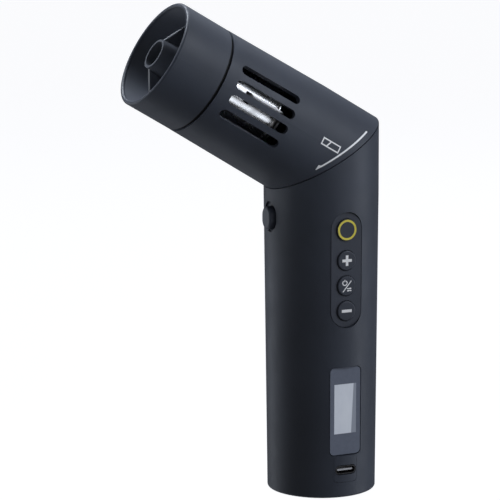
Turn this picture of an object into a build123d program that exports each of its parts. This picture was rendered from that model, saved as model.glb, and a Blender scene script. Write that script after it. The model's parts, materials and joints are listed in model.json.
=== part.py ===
"""Cordless hand-held jet blower with a swivelling head, every piece as its own solid.

Millimetres. +Z runs up the handle and the origin is the centre of the flat base.
The control panel faces -Y and the head leans towards -X. The handle and the head
are two round tubes cut by one slanted plane, the mitre, where the head swivels.
"""

import os
from math import atan, cos, degrees, radians, sin, sqrt

from build123d import *

os.makedirs("parts", exist_ok=True)

# ---------------------------------------------------------------- driving dimensions
HANDLE_LENGTH = 136.5  # flat base to the elbow, where the two tube axes cross
ELBOW_RADIUS = 23.0
BASE_RADIUS = 21.9
HANDLE_TAPER_TOP = 120.0  # the handle is straight above this height
BASE_EDGE = 0.8  # fillet round the foot
WALL = 2.0
HEAD_TILT = 60.0  # head axis from the vertical
SEAM = 0.4  # visible gap between handle and head

HEAD_LENGTH = 82.8  # elbow to the nozzle's lip, along the head
HEAD_STRAIGHT = 14.0  # the head tapers beyond this
HEAD_SHELL_END = 60.9
HEAD_SHELL_RADIUS = 22.1  # at its front end
SLOT_LENGTH = 27.6
SLOT_WIDTH = 3.8
SLOT_PITCH = 16.55  # degrees between neighbouring air slots
SLOT_CENTRE = 42.0
SLOTS_PER_SIDE = 4

FLAT_HALF = 6.7  # half width of the flat that the panel and the lens lie on
PANEL_WIDTH, PANEL_LENGTH, PANEL_CENTRE = 13.2, 45.7, 91.9
PANEL_THICKNESS = 1.6
PANEL_GROOVE = 0.25
TURBO_HEIGHT, PLUS_HEIGHT, MODE_HEIGHT, MINUS_HEIGHT = 107.9, 95.7, 85.6, 75.6
TURBO_RADIUS, KEY_RADIUS = 4.3, 4.0
KEY_GAP = 0.2
KEY_PROUD = 0.7
KEY_STEM_END = 3.3  # below the flat

LENS_WIDTH, LENS_LENGTH, LENS_CENTRE = 13.4, 35.4, 35.1
LENS_CORNER, LENS_THICKNESS, LENS_GAP = 1.8, 1.0, 0.3
WINDOW_WIDTH, WINDOW_LENGTH, WINDOW_CENTRE = 9.7, 20.1, 36.0

PORT_CENTRE = 11.2
PORT_WIDTH, PORT_HEIGHT = 9.3, 4.0
USB_WIDTH, USB_HEIGHT, USB_WALL = 8.94, 3.26, 0.3
TAB_HALF, TAB_BOTTOM, TAB_CORNER, TAB_GAP = 5.0, 6.3, 1.6, 0.1
TAB_TOP = LENS_CENTRE - LENS_LENGTH / 2 - LENS_GAP

TRIGGER_CENTRE = 111.4
TRIGGER_LENGTH, TRIGGER_WIDTH = 9.2, 7.4
TRIGGER_PROUD = 1.7
TRIGGER_TRAVEL = 1.6
RECESS_LENGTH, RECESS_WIDTH, RECESS_DEPTH, RECESS_CENTRE = 12.2, 9.8, 1.1, 111.9

CELL_RADIUS, CELL_LENGTH, CELL_BOTTOM = 9.15, 65.0, 8.5
CELL_SPACING, CELL_SHIFT = 18.6, 1.5
BOARD_FRONT, BOARD_THICKNESS, BOARD_HALF = -14.6, 1.6, 11.5
BOARD_BOTTOM, BOARD_TOP = 10.6, 117.0
SWITCH_SIZE, SWITCH_HEIGHT, SWITCH_TOP = 5.2, 2.4, 2.9

HUB_RADIUS, HUB_BORE, RUNNING_GAP = 12.0, 9.5, 0.05
DETENT_CIRCLE = 16.5

DUCT_INNER, DUCT_OUTER, DUCT_REAR, DUCT_FRONT = 12.6, 13.6, 31.0, 63.2
IMPELLER_REAR, IMPELLER_FRONT, IMPELLER_RADIUS = 33.1, 39.9, 12.35
BLADES = 9
SHAFT_RADIUS = 1.5
BEARING_RADIUS = 3.5
MOTOR_REAR, MOTOR_FRONT, MOTOR_RADIUS = 40.4, 54.9, 8.6
STATOR_VANES = 11
TEETH = 6

SPIGOT_RADIUS, SPIGOT_BORE, SPIGOT_END = 19.3, 17.4, 68.0
COLLAR_REAR = 62.05
COLLAR_REAR_RADIUS, COLLAR_LIP_RADIUS = 22.05, 21.95
FUNNEL_MOUTH, THROAT_RADIUS, THROAT_START, THROAT_END = 20.15, 12.5, 63.6, 65.9
JET_MOUTH, JET_BORE, JET_TIP, JET_ROOT = 6.1, 5.2, 82.5, 64.2
JET_ROOT_RADIUS = 8.6
WEB_THICKNESS = 1.6
WEB_ANGLES = (90, 270)  # round the head axis from the panel side

# ---------------------------------------------------------------- frames and helpers
elbow = Vector(0, 0, HANDLE_LENGTH)
panel_side = Vector(0, -1, 0)
head_axis = Vector(-sin(radians(HEAD_TILT)), 0, cos(radians(HEAD_TILT)))
mitre_axis = Vector(-sin(radians(HEAD_TILT / 2)), 0, cos(radians(HEAD_TILT / 2)))

handle_frame = Plane.XY
head_frame = Plane(origin=elbow, x_dir=panel_side, z_dir=head_axis)
mitre_frame = Plane(origin=elbow, x_dir=panel_side, z_dir=mitre_axis)

TAPER = (ELBOW_RADIUS - BASE_RADIUS) / HANDLE_TAPER_TOP
FACE_TILT = degrees(atan(TAPER))
CELL_TOP = CELL_BOTTOM + CELL_LENGTH
BOARD_BACK = BOARD_FRONT + BOARD_THICKNESS


def handle_radius(height):
    """Outer radius of the handle at a height."""
    return min(ELBOW_RADIUS, BASE_RADIUS + TAPER * height)


def head_radius(along):
    """Outer radius of the head shell at a distance from the elbow."""
    share = max(0.0, along - HEAD_STRAIGHT) / (HEAD_SHELL_END - HEAD_STRAIGHT)
    return ELBOW_RADIUS + (HEAD_SHELL_RADIUS - ELBOW_RADIUS) * share


def front_face(height):
    """Plane of the flat on the panel side: x across, y up, normal outwards."""
    depth = sqrt(handle_radius(height) ** 2 - FLAT_HALF**2)
    normal = (0, -cos(radians(FACE_TILT)), -sin(radians(FACE_TILT)))
    return Plane(origin=(0, -depth, height), x_dir=(1, 0, 0), z_dir=normal)


def bend_side(height, depth=0.0):
    """Plane against the handle's -X side: x towards -Y, y up, normal outwards."""
    return Plane(
        origin=(-handle_radius(height) + depth, 0, height), x_dir=(0, -1, 0), z_dir=(-1, 0, 0)
    )


def radial(frame, angle, distance, along):
    """Plane facing outwards from a frame's axis, its x running along the axis."""
    outward = frame.x_dir * cos(radians(angle)) + frame.y_dir * sin(radians(angle))
    origin = frame.origin + frame.z_dir * along + outward * distance
    return Plane(origin=origin, x_dir=frame.z_dir, z_dir=outward)


def half_plane(frame):
    """Plane through a frame's axis: x is the radius and y runs along the axis."""
    return Plane(origin=frame.origin, x_dir=frame.x_dir, z_dir=frame.x_dir.cross(frame.z_dir))


def turn(frame, points, mode=Mode.ADD):
    """Revolve a closed outline of (radius, distance along) points round a frame's axis."""
    with BuildSketch(half_plane(frame)) as outline:
        with BuildLine():
            Polyline(*points, close=True)
        make_face()
    revolve(outline.sketch, axis=Axis(frame.origin, frame.z_dir), mode=mode)


def ring(frame, outer, inner, low, high, mode=Mode.ADD):
    """A plain ring, or a disc where inner is 0."""
    turn(frame, [(inner, low), (outer, low), (outer, high), (inner, high)], mode)


def pill(plane, length, width, low, high, mode=Mode.ADD):
    """A capsule-shaped block standing on a plane, long side up, between two depths."""
    with BuildSketch(plane.offset(low)) as outline:
        SlotOverall(length, width, rotation=90)
    extrude(outline.sketch, amount=high - low, mode=mode)


def disc(plane, radius, low, high, mode=Mode.ADD):
    """A round block standing on a plane, between two depths."""
    with BuildSketch(plane.offset(low)) as outline:
        Circle(radius)
    extrude(outline.sketch, amount=high - low, mode=mode)


def block(plane, width, length, low, high, mode=Mode.ADD, centre=(0, 0)):
    """A rectangular block standing on a plane, between two depths."""
    with BuildSketch(plane.offset(low)) as outline:
        with Locations(centre):
            Rectangle(width, length)
    extrude(outline.sketch, amount=high - low, mode=mode)


def cable(points, bend, radius):
    """A round cable along straight runs joined by tangent arcs."""
    with BuildLine() as route:
        FilletPolyline(*points, radius=bend)
    start = Plane(origin=route.line @ 0, z_dir=route.line % 0)
    with BuildSketch(start) as section:
        Circle(radius)
    sweep(section.sketch, path=route.line)


def spring(plane, radius, wire, pitch, height):
    """A coil spring standing on a plane."""
    with BuildLine() as coil:
        Helix(pitch, height, radius, center=plane.origin, direction=plane.z_dir)
    with BuildSketch(Plane(origin=coil.line @ 0, z_dir=coil.line % 0)) as section:
        Circle(wire)
    sweep(section.sketch, path=coil.line, is_frenet=True)


def save(piece, name):
    """Label a finished piece and write its STEP file."""
    piece.part.label = name
    export_step(piece.part, f"parts/{name}.step")


# ---------------------------------------------------------------- handle shell and base
CAP_SCREWS = (30, 150, 270)  # degrees round the base
CAP_SCREW_CIRCLE = 15.9
CAP_THICKNESS = 2.5
BOSS_TOP, BOSS_RADIUS, SCREW_RADIUS = 6.6, 2.8, 1.25

with BuildPart() as handle_shell:
    handle_outline = [
        (BASE_RADIUS - WALL, 0),
        (BASE_RADIUS, 0),
        (ELBOW_RADIUS, HANDLE_TAPER_TOP),
        (ELBOW_RADIUS, HANDLE_LENGTH + ELBOW_RADIUS),
        (ELBOW_RADIUS - WALL, HANDLE_LENGTH + ELBOW_RADIUS),
        (ELBOW_RADIUS - WALL, HANDLE_TAPER_TOP),
    ]
    turn(handle_frame, handle_outline)
    foot_circles = handle_shell.edges().filter_by(GeomType.CIRCLE).group_by(Axis.Z)[0]
    fillet(foot_circles.sort_by(SortBy.RADIUS)[-1], BASE_EDGE)
    split(bisect_by=mitre_frame.offset(-SEAM / 2), keep=Keep.BOTTOM)
    # Screw bosses for the base, joined to the wall.
    with BuildSketch(Plane.XY.offset(CAP_THICKNESS + 0.1)):
        with PolarLocations(CAP_SCREW_CIRCLE, 3, start_angle=CAP_SCREWS[0]):
            Circle(BOSS_RADIUS)
        with PolarLocations(CAP_SCREW_CIRCLE + 2.2, 3, start_angle=CAP_SCREWS[0]):
            Rectangle(4.2, 2 * BOSS_RADIUS)
        Circle(BASE_RADIUS - WALL + 0.4, mode=Mode.INTERSECT)
    extrude(amount=BOSS_TOP - CAP_THICKNESS - 0.1)
    with BuildSketch(Plane.XY):
        with PolarLocations(CAP_SCREW_CIRCLE, 3, start_angle=CAP_SCREWS[0]):
            Circle(SCREW_RADIUS)
    extrude(amount=BOSS_TOP, mode=Mode.SUBTRACT)
    # Through openings for the panel, the lens and the charging port's tab.
    pill(
        front_face(PANEL_CENTRE),
        PANEL_LENGTH + 2 * PANEL_GROOVE,
        PANEL_WIDTH + 2 * PANEL_GROOVE,
        -6,
        3,
        Mode.SUBTRACT,
    )
    with BuildSketch(front_face(LENS_CENTRE).offset(-6)):
        RectangleRounded(LENS_WIDTH + 2 * LENS_GAP, LENS_LENGTH + 2 * LENS_GAP, LENS_CORNER + LENS_GAP)
    extrude(amount=9, mode=Mode.SUBTRACT)
    with BuildSketch(Plane.XZ.offset(15)) as tab_hole:
        with Locations((0, (TAB_TOP + TAB_BOTTOM - TAB_GAP) / 2)):
            Rectangle(2 * (TAB_HALF + TAB_GAP), TAB_TOP - TAB_BOTTOM + TAB_GAP)
        fillet(tab_hole.vertices().group_by(Axis.Z)[0], TAB_CORNER + TAB_GAP)
    extrude(amount=9, mode=Mode.SUBTRACT)
    # Dished recess and hole for the trigger, and the round stem of the button passes it.
    pill(bend_side(RECESS_CENTRE), RECESS_LENGTH, RECESS_WIDTH, -RECESS_DEPTH, 3, Mode.SUBTRACT)
    pill(bend_side(TRIGGER_CENTRE), TRIGGER_LENGTH + 0.5, TRIGGER_WIDTH + 0.5, -6, 0, Mode.SUBTRACT)
save(handle_shell, "handle_shell")

with BuildPart() as bottom_cap:
    ring(handle_frame, BASE_RADIUS - WALL - 0.12, 0, 0, CAP_THICKNESS)
    with BuildSketch(Plane.XY):
        with PolarLocations(CAP_SCREW_CIRCLE, 3, start_angle=CAP_SCREWS[0]):
            Circle(SCREW_RADIUS + 0.15)
    extrude(amount=CAP_THICKNESS, mode=Mode.SUBTRACT)
    with BuildSketch(Plane.XY):
        with PolarLocations(CAP_SCREW_CIRCLE, 3, start_angle=CAP_SCREWS[0]):
            Circle(2.6)
    extrude(amount=1.3, mode=Mode.SUBTRACT)
save(bottom_cap, "bottom_cap")

with BuildPart() as cap_screws:
    with BuildSketch(Plane.XY.offset(0.3)):
        with PolarLocations(CAP_SCREW_CIRCLE, 3, start_angle=CAP_SCREWS[0]):
            Circle(2.3)
    extrude(amount=1.0)
    with BuildSketch(Plane.XY.offset(1.3)):
        with PolarLocations(CAP_SCREW_CIRCLE, 3, start_angle=CAP_SCREWS[0]):
            Circle(SCREW_RADIUS)
    extrude(amount=4.7)
    with BuildSketch(Plane.XY.offset(0.3)):
        with PolarLocations(CAP_SCREW_CIRCLE, 3, start_angle=CAP_SCREWS[0]):
            RegularPolygon(1.0, 6)
    extrude(amount=0.7, mode=Mode.SUBTRACT)
save(cap_screws, "cap_screws")

# ---------------------------------------------------------------- control panel and keys
KEYS = {
    "turbo": (TURBO_HEIGHT, TURBO_RADIUS),
    "plus": (PLUS_HEIGHT, KEY_RADIUS),
    "mode": (MODE_HEIGHT, KEY_RADIUS),
    "minus": (MINUS_HEIGHT, KEY_RADIUS),
}
FLANGE_TOP, FLANGE_BOTTOM, FLANGE_EXTRA = 1.7, 2.4, 0.8
KEY_ROUNDING = 0.55
RING_OUTER, RING_INNER, RING_DEPTH = 4.05, 3.22, 0.4

with BuildPart() as control_panel:
    panel_face = front_face(PANEL_CENTRE)
    pill(panel_face, PANEL_LENGTH, PANEL_WIDTH, -PANEL_THICKNESS, 0)
    for key_height, key_radius in KEYS.values():
        disc(front_face(key_height), key_radius + KEY_GAP, -4, 1, Mode.SUBTRACT)
save(control_panel, "control_panel")


def key(piece, height, radius, rounding):
    """A push key: a face standing proud, a flange behind the panel and a stem."""
    face = front_face(height)
    disc(face, radius, -FLANGE_TOP, KEY_PROUD)
    top = piece.faces().sort_by(Axis(face.origin, face.z_dir))[-1]
    fillet(top.edges(), rounding)
    disc(face, radius + FLANGE_EXTRA, -FLANGE_BOTTOM, -FLANGE_TOP)
    disc(face, 1.5, -KEY_STEM_END, -FLANGE_BOTTOM)


with BuildPart() as turbo_button:
    key(turbo_button, TURBO_HEIGHT, TURBO_RADIUS, 0.12)
    disc(front_face(TURBO_HEIGHT), RING_OUTER, KEY_PROUD - RING_DEPTH, KEY_PROUD, Mode.SUBTRACT)
    disc(front_face(TURBO_HEIGHT), RING_INNER, KEY_PROUD - RING_DEPTH, KEY_PROUD - 0.05)
save(turbo_button, "turbo_button")

with BuildPart() as turbo_ring:
    disc(front_face(TURBO_HEIGHT), RING_OUTER, KEY_PROUD - RING_DEPTH, KEY_PROUD)
    disc(front_face(TURBO_HEIGHT), RING_INNER, KEY_PROUD - RING_DEPTH, KEY_PROUD, Mode.SUBTRACT)
save(turbo_ring, "turbo_ring")

with BuildPart() as plus_button:
    key(plus_button, PLUS_HEIGHT, KEY_RADIUS, KEY_ROUNDING)
save(plus_button, "plus_button")

with BuildPart() as mode_button:
    key(mode_button, MODE_HEIGHT, KEY_RADIUS, KEY_ROUNDING)
save(mode_button, "mode_button")

with BuildPart() as minus_button:
    key(minus_button, MINUS_HEIGHT, KEY_RADIUS, KEY_ROUNDING)
save(minus_button, "minus_button")

# ---------------------------------------------------------------- display and charging port
board_face = Plane.XZ.offset(-BOARD_FRONT)  # x across, y up, normal towards the panel

with BuildPart() as display_lens:
    with BuildSketch(front_face(LENS_CENTRE).offset(-LENS_THICKNESS - 0.1)):
        RectangleRounded(LENS_WIDTH, LENS_LENGTH, LENS_CORNER)
    extrude(amount=LENS_THICKNESS)
save(display_lens, "display_lens")

MODULE_WIDTH, MODULE_LENGTH = 12.4, 32.0
MODULE_FRONT, MODULE_BACK = 19.9, 18.1

with BuildPart() as display_module:
    module_plane = Plane.XZ.offset(MODULE_BACK)
    block(module_plane, MODULE_WIDTH, MODULE_LENGTH, 0, 1.5, centre=(0, LENS_CENTRE))
    block(
        module_plane, WINDOW_WIDTH, WINDOW_LENGTH, 1.5, MODULE_FRONT - MODULE_BACK, centre=(0, WINDOW_CENTRE)
    )
save(display_module, "display_module")

with BuildPart() as display_frame:
    frame_depth = MODULE_BACK + BOARD_FRONT
    block(board_face, MODULE_WIDTH, MODULE_LENGTH, 0, frame_depth, centre=(0, LENS_CENTRE))
    block(
        board_face,
        MODULE_WIDTH - 2.4,
        MODULE_LENGTH - 2.4,
        0,
        frame_depth,
        Mode.SUBTRACT,
        centre=(0, LENS_CENTRE),
    )
save(display_frame, "display_frame")

with BuildPart() as port_tab:
    wall_outline = [
        (handle_radius(TAB_BOTTOM) - WALL, TAB_BOTTOM),
        (handle_radius(TAB_BOTTOM) - 0.03, TAB_BOTTOM),
        (handle_radius(TAB_TOP) - 0.03, TAB_TOP - 0.1),
        (handle_radius(TAB_TOP) - WALL, TAB_TOP - 0.1),
    ]
    turn(handle_frame, wall_outline)
    with BuildSketch(Plane.XZ.offset(15)) as tab_outline:
        with Locations((0, (TAB_TOP + TAB_BOTTOM) / 2)):
            Rectangle(2 * TAB_HALF, TAB_TOP - TAB_BOTTOM)
        fillet(tab_outline.vertices().group_by(Axis.Z)[0], TAB_CORNER)
    extrude(amount=9, mode=Mode.INTERSECT)
    with BuildSketch(Plane.XZ.offset(15)):
        with Locations((0, PORT_CENTRE)):
            SlotOverall(PORT_WIDTH, PORT_HEIGHT)
    extrude(amount=9, mode=Mode.SUBTRACT)
save(port_tab, "port_tab")

USB_MOUTH = 21.5  # depth from the handle's axis
with BuildPart() as usb_receptacle:
    with BuildSketch(board_face):
        with Locations((0, PORT_CENTRE)):
            SlotOverall(USB_WIDTH, USB_HEIGHT)
    extrude(amount=USB_MOUTH + BOARD_FRONT)
    with BuildSketch(board_face.offset(0.6)):
        with Locations((0, PORT_CENTRE)):
            SlotOverall(USB_WIDTH - 2 * USB_WALL, USB_HEIGHT - 2 * USB_WALL)
    extrude(amount=USB_MOUTH, mode=Mode.SUBTRACT)
save(usb_receptacle, "usb_receptacle")

with BuildPart() as usb_tongue:
    block(board_face, 6.7, 0.7, 0.6, USB_MOUTH + BOARD_FRONT - 0.7, centre=(0, PORT_CENTRE))
save(usb_tongue, "usb_tongue")

# ---------------------------------------------------------------- boards and switches
with BuildPart() as main_board:
    block(
        board_face,
        2 * BOARD_HALF,
        BOARD_TOP - BOARD_BOTTOM,
        -BOARD_THICKNESS,
        0,
        centre=(0, (BOARD_TOP + BOARD_BOTTOM) / 2),
    )
save(main_board, "main_board")

with BuildPart() as board_chips:
    # Controller, charger and power parts on the back of the board, above the cells.
    CHIPS = ((-4, 84, 7, 7, 1.2), (5, 86, 5, 6, 1.0), (-5, 104, 6, 5, 1.4), (7, 108, 4, 8, 1.8))
    for chip_x, chip_z, chip_width, chip_length, chip_height in CHIPS:
        block(
            board_face.offset(-BOARD_THICKNESS),
            chip_width,
            chip_length,
            -chip_height,
            0,
            centre=(chip_x, chip_z),
        )
save(board_chips, "board_chips")

with BuildPart() as key_switches:
    for key_height, _ in KEYS.values():
        block(board_face, SWITCH_SIZE, SWITCH_SIZE, 0, SWITCH_HEIGHT, centre=(0, key_height))
        with BuildSketch(board_face.offset(SWITCH_HEIGHT)):
            with Locations((0, key_height)):
                Circle(1.3)
        extrude(amount=SWITCH_TOP - SWITCH_HEIGHT)
save(key_switches, "key_switches")

# ---------------------------------------------------------------- battery pack
CRADLE_RADIUS = 19.5
POCKET = CELL_RADIUS + 0.1


def cradle(low, high, pocket_low, pocket_high):
    """A disc with two cell pockets, cut away on the board's side."""
    ring(handle_frame, CRADLE_RADIUS, 0, low, high)
    for side in (-1, 1):
        with BuildSketch(Plane.XY.offset(pocket_low)) as pocket:
            with Locations((side * CELL_SPACING / 2, CELL_SHIFT)):
                Circle(POCKET)
        extrude(pocket.sketch, amount=pocket_high - pocket_low, mode=Mode.SUBTRACT)
    block(Plane.XY, 60, 20, low, high, Mode.SUBTRACT, centre=(0, BOARD_BACK + 0.3 - 10))


STRIP = 0.2
with BuildPart() as lower_cradle:
    cradle(6.8, 11.5, CELL_BOTTOM - STRIP, 11.5)
save(lower_cradle, "lower_cradle")

with BuildPart() as upper_cradle:
    cradle(70.5, 75.5, 70.5, CELL_TOP + STRIP)
save(upper_cradle, "upper_cradle")

with BuildPart() as battery_cells:
    with BuildSketch(Plane.XY.offset(CELL_BOTTOM)):
        with Locations((-CELL_SPACING / 2, CELL_SHIFT), (CELL_SPACING / 2, CELL_SHIFT)):
            Circle(CELL_RADIUS)
    extrude(amount=CELL_LENGTH)
    end_circles = battery_cells.edges().filter_by(GeomType.CIRCLE)
    fillet(end_circles, 0.6)
save(battery_cells, "battery_cells")

with BuildPart() as cell_strips:
    for strip_height in (CELL_BOTTOM - STRIP, CELL_TOP):
        with BuildSketch(Plane.XY.offset(strip_height)) as strips:
            with Locations((-CELL_SPACING / 2, CELL_SHIFT), (CELL_SPACING / 2, CELL_SHIFT)):
                Rectangle(8, 12)
        extrude(strips.sketch, amount=STRIP)
save(cell_strips, "cell_strips")

# ---------------------------------------------------------------- trigger
TRIGGER_FLANGE_TOP, TRIGGER_FLANGE_BOTTOM = 2.7, 3.6
TRIGGER_STEM_END = 6.6
SPRING_SEAT = 9.6  # depths below the handle's surface
trigger_face = bend_side(TRIGGER_CENTRE)

with BuildPart() as trigger_button:
    pill(trigger_face, TRIGGER_LENGTH, TRIGGER_WIDTH, -TRIGGER_FLANGE_TOP, TRIGGER_PROUD)
    front = trigger_button.faces().sort_by(Axis.X)[0]
    fillet(front.edges(), 0.9)
    pill(
        trigger_face,
        TRIGGER_LENGTH + 1.8,
        TRIGGER_WIDTH + 1.4,
        -TRIGGER_FLANGE_BOTTOM,
        -TRIGGER_FLANGE_TOP,
    )
    disc(trigger_face, 1.3, -TRIGGER_STEM_END, -TRIGGER_FLANGE_BOTTOM)
save(trigger_button, "trigger_button")

SPRING_LENGTH = SPRING_SEAT - TRIGGER_FLANGE_BOTTOM - 0.5
with BuildPart() as trigger_spring:
    spring(trigger_face.offset(-SPRING_SEAT + 0.25), 2.4, 0.22, SPRING_LENGTH / 5, SPRING_LENGTH)
save(trigger_spring, "trigger_spring")

with BuildPart() as trigger_carrier:
    block(trigger_face, 28.4, 13, -SPRING_SEAT - 1.4, -SPRING_SEAT, centre=(-1.25, 0.5))
    disc(trigger_face, 1.9, -SPRING_SEAT - 1.4, -SPRING_SEAT, Mode.SUBTRACT)
save(trigger_carrier, "trigger_carrier")

with BuildPart() as trigger_switch:
    block(trigger_face, 6.2, 12.6, -SPRING_SEAT - 7.4, -SPRING_SEAT - 1.4)
    disc(trigger_face, 1.2, -SPRING_SEAT - 1.4, -SPRING_SEAT + 0.9)
save(trigger_switch, "trigger_switch")

# ---------------------------------------------------------------- swivel, along the mitre axis
SOCKET_TOP, SOCKET_UNDERSIDE, SOCKET_END, SOCKET_RADIUS = -0.4, -3.2, -8.0, 15.0
FLOOR_LOW, FLOOR_TOP = 0.4, 3.0
HUB_END = -8.65
RETAINER_END = -10.25
RETAINER_RADIUS = 14.5
RETAINER_SCREW_CIRCLE = (HUB_RADIUS + HUB_BORE) / 2
DETENT_POCKET, DETENT_FLOOR = 1.3, -7.4

with BuildPart() as swivel_socket:
    # Oval plate that closes the handle's slanted end, with a round bearing boss.
    ring(handle_frame, ELBOW_RADIUS - WALL - 0.05, 0, HANDLE_LENGTH - 22, HANDLE_LENGTH + 22)
    split(bisect_by=mitre_frame.offset(SOCKET_TOP), keep=Keep.BOTTOM)
    split(bisect_by=mitre_frame.offset(SOCKET_UNDERSIDE), keep=Keep.TOP)
    ring(mitre_frame, SOCKET_RADIUS, 0, SOCKET_END, SOCKET_TOP)
    with BuildSketch(mitre_frame.offset(SOCKET_END)):
        with Locations((DETENT_CIRCLE, 0), (-DETENT_CIRCLE, 0)):
            Circle(DETENT_POCKET + 1.0)
    extrude(amount=SOCKET_TOP - SOCKET_END)
    with BuildSketch(mitre_frame.offset(DETENT_FLOOR)):
        with Locations((DETENT_CIRCLE, 0), (-DETENT_CIRCLE, 0)):
            Circle(DETENT_POCKET)
    extrude(amount=SOCKET_TOP - DETENT_FLOOR, mode=Mode.SUBTRACT)
    ring(mitre_frame, HUB_RADIUS + RUNNING_GAP, 0, SOCKET_END, SOCKET_TOP, Mode.SUBTRACT)
save(swivel_socket, "swivel_socket")

with BuildPart() as detent_springs:
    for side in (-1, 1):
        spot = mitre_frame.offset(DETENT_FLOOR + 0.2)
        spot.origin = spot.origin + panel_side * side * DETENT_CIRCLE
        spring(spot, 0.95, 0.16, 1.1, 5.3)
save(detent_springs, "detent_springs")

BALL_RADIUS, BALL_CENTRE = 1.2, -0.3
with BuildPart() as detent_balls:
    with Locations(mitre_frame.offset(BALL_CENTRE)):
        with Locations((DETENT_CIRCLE, 0), (-DETENT_CIRCLE, 0)):
            Sphere(BALL_RADIUS)
save(detent_balls, "detent_balls")

with BuildPart() as friction_washer:
    ring(mitre_frame, RETAINER_RADIUS - 0.1, HUB_RADIUS + 0.3, -8.5, -8.1)
save(friction_washer, "friction_washer")

with BuildPart() as swivel_hub:
    # Oval floor of the head, with the journal that turns in the socket.
    ring(head_frame, ELBOW_RADIUS - WALL - 0.05, 0, -20, 20)
    split(bisect_by=mitre_frame.offset(FLOOR_LOW), keep=Keep.TOP)
    split(bisect_by=mitre_frame.offset(FLOOR_TOP), keep=Keep.BOTTOM)
    ring(mitre_frame, HUB_RADIUS, 0, HUB_END, FLOOR_LOW + 0.5)
    ring(mitre_frame, HUB_BORE, 0, HUB_END, FLOOR_TOP, Mode.SUBTRACT)
    ring(mitre_frame, DETENT_CIRCLE + 1.3, DETENT_CIRCLE - 1.3, FLOOR_LOW, 1.2, Mode.SUBTRACT)
    with Locations(mitre_frame.offset(1.2)):
        with Locations((DETENT_CIRCLE, 0), (-DETENT_CIRCLE, 0)):
            Sphere(1.1, mode=Mode.SUBTRACT)
    with BuildSketch(mitre_frame.offset(HUB_END)):
        with PolarLocations(RETAINER_SCREW_CIRCLE, 4, start_angle=45):
            Circle(0.7)
    extrude(amount=4.5, mode=Mode.SUBTRACT)
save(swivel_hub, "swivel_hub")

with BuildPart() as retainer_ring:
    ring(mitre_frame, RETAINER_RADIUS, HUB_BORE, RETAINER_END, HUB_END)
    with BuildSketch(mitre_frame.offset(RETAINER_END)):
        with PolarLocations(RETAINER_SCREW_CIRCLE, 4, start_angle=45):
            Circle(0.85)
    extrude(amount=HUB_END - RETAINER_END, mode=Mode.SUBTRACT)
save(retainer_ring, "retainer_ring")

with BuildPart() as retainer_screws:
    with BuildSketch(mitre_frame.offset(RETAINER_END - 0.9)):
        with PolarLocations(RETAINER_SCREW_CIRCLE, 4, start_angle=45):
            Circle(1.2)
    extrude(amount=0.9)
    with BuildSketch(mitre_frame.offset(RETAINER_END)):
        with PolarLocations(RETAINER_SCREW_CIRCLE, 4, start_angle=45):
            Circle(0.7)
    extrude(amount=5.6)
save(retainer_screws, "retainer_screws")

# ---------------------------------------------------------------- head shell
with BuildPart() as head_shell:
    head_outline = [
        (ELBOW_RADIUS - WALL, -18),
        (ELBOW_RADIUS, -18),
        (ELBOW_RADIUS, HEAD_STRAIGHT),
        (HEAD_SHELL_RADIUS, HEAD_SHELL_END),
        (HEAD_SHELL_RADIUS - WALL, HEAD_SHELL_END),
        (ELBOW_RADIUS - WALL, HEAD_STRAIGHT),
    ]
    turn(head_frame, head_outline)
    split(bisect_by=mitre_frame.offset(SEAM / 2), keep=Keep.TOP)
    for side in (0, 180):
        for number in range(SLOTS_PER_SIDE):
            slot_angle = side + (number - (SLOTS_PER_SIDE - 1) / 2) * SLOT_PITCH
            slot_plane = radial(head_frame, slot_angle, ELBOW_RADIUS - 6, SLOT_CENTRE)
            with BuildSketch(slot_plane) as slot:
                SlotOverall(SLOT_LENGTH, SLOT_WIDTH)
            extrude(slot.sketch, amount=9, mode=Mode.SUBTRACT)
save(head_shell, "head_shell")

# ---------------------------------------------------------------- fan, along the head axis
LEADS, LEAD_PITCH, LEAD_RADIUS = 3, 1.3, 0.6
LEAD_FIRST = 0.35  # the lowest lead's height above the head's axis
LEAD_START, LEAD_RISE, LEAD_TURN = 26.5, 28.3, 29.3  # along the head, from the board to the run
LEAD_ASIDE = 9.3  # the first lead's place on the board, towards the panel side
LEAD_BEND = 1.6
LEAD_ENTRY = 45.4  # where the leads pass through the duct's side
LEAD_DISTANCE = 15.1  # from the head's axis, outside the duct
LEAD_REACH = 6.8  # from there in through the window
LEAD_MIDDLE = LEAD_FIRST + LEAD_PITCH
LEAD_HOLE_LENGTH, LEAD_HOLE_WIDTH = 2.6, 4.6


def lead_window(inner, outer):
    """Cut the opening that the motor leads pass through."""
    window = radial(head_frame, 0, inner, LEAD_ENTRY)
    hole = (0, -LEAD_MIDDLE)
    block(window, LEAD_HOLE_LENGTH, LEAD_HOLE_WIDTH, 0, outer - inner, Mode.SUBTRACT, centre=hole)


with BuildPart() as fan_duct:
    ring(head_frame, DUCT_OUTER, DUCT_INNER, DUCT_REAR, DUCT_FRONT)
    # Rolled bead round the inlet.
    with BuildSketch(half_plane(head_frame)) as inlet_bead:
        with Locations((DUCT_OUTER - 0.1, DUCT_REAR)):
            Circle(0.9)
    revolve(inlet_bead.sketch, axis=Axis(elbow, head_axis))
    lead_window(8, 16)
save(fan_duct, "fan_duct")


# ---------------------------------------------------------------- impeller and rotor
BLADE_ROOT, BLADE_TIP = 4.0, 12.8
BLADE_CHORD, BLADE_THICKNESS = 7.6, 0.9
BLADE_MIDDLE = (IMPELLER_REAR + IMPELLER_FRONT) / 2
HUB_REAR_RADIUS, HUB_FRONT_RADIUS = 4.6, 8.0

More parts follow.
